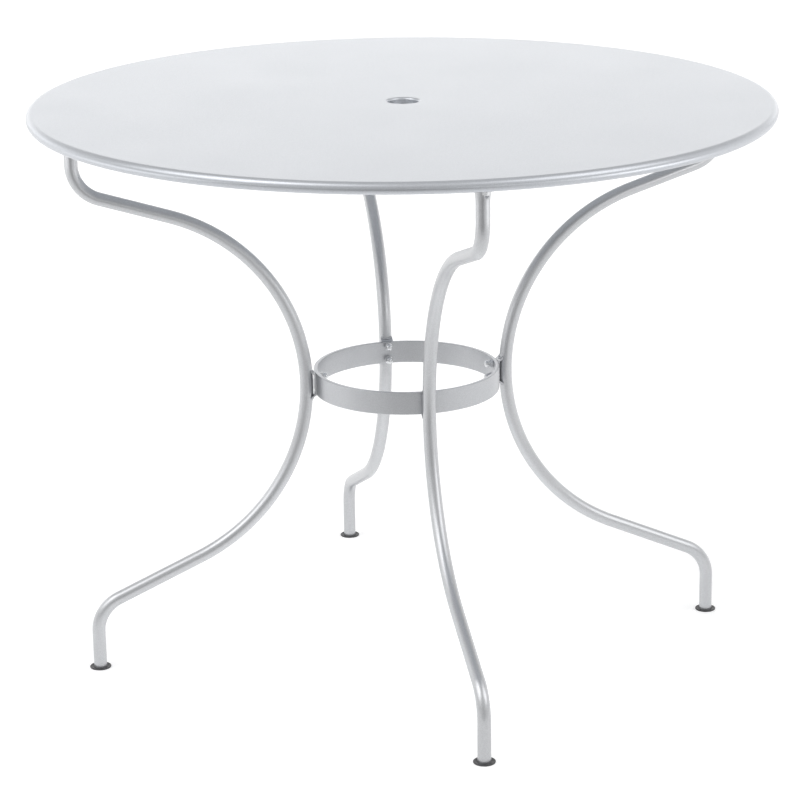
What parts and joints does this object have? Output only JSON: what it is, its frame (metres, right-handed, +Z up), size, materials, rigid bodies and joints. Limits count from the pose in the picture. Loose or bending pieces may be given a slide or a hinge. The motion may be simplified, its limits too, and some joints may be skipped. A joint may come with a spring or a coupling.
{
  "type": "round patio table",
  "caption": "Round metal garden table: pressed sheet top with rolled rim and parasol hole, bent tube legs curving in to a flat-bar hoop at the waist, dark plastic glides.",
  "frame": {"origin": "on the floor, under the middle of the top", "axes": "+Z up along the table's axis; the legs stand on the X and Y axes, the front leg on -Y"},
  "size_m": [0.96, 0.96, 0.74],
  "materials": {
    "silver_powder_coat": "satin silver-grey powder coat with a fine metallic sparkle",
    "zinc_plated_steel": "bright zinc plating",
    "dark_grey_plastic": "moulded satin plastic"
  },
  "bodies": {
    "root": {"table_top": "silver_powder_coat", "rail_front": "silver_powder_coat", "leg_plate_front": "silver_powder_coat", "leg_front": "silver_powder_coat", "rail_right": "silver_powder_coat", "leg_plate_right": "silver_powder_coat", "leg_right": "silver_powder_coat", "rail_back": "silver_powder_coat", "leg_plate_back": "silver_powder_coat", "leg_back": "silver_powder_coat", "rail_left": "silver_powder_coat", "leg_plate_left": "silver_powder_coat", "leg_left": "silver_powder_coat", "hoop": "silver_powder_coat", "hoop_bracket_front": "silver_powder_coat", "hoop_bracket_right": "silver_powder_coat", "hoop_bracket_back": "silver_powder_coat", "hoop_bracket_left": "silver_powder_coat", "rail_studs": "zinc_plated_steel", "plate_washers": "zinc_plated_steel", "plate_nuts": "zinc_plated_steel", "hoop_studs": "zinc_plated_steel", "cap_nuts": "zinc_plated_steel", "glide_front": "dark_grey_plastic", "glide_right": "dark_grey_plastic", "glide_back": "dark_grey_plastic", "glide_left": "dark_grey_plastic"}
  },
  "joints": []
}
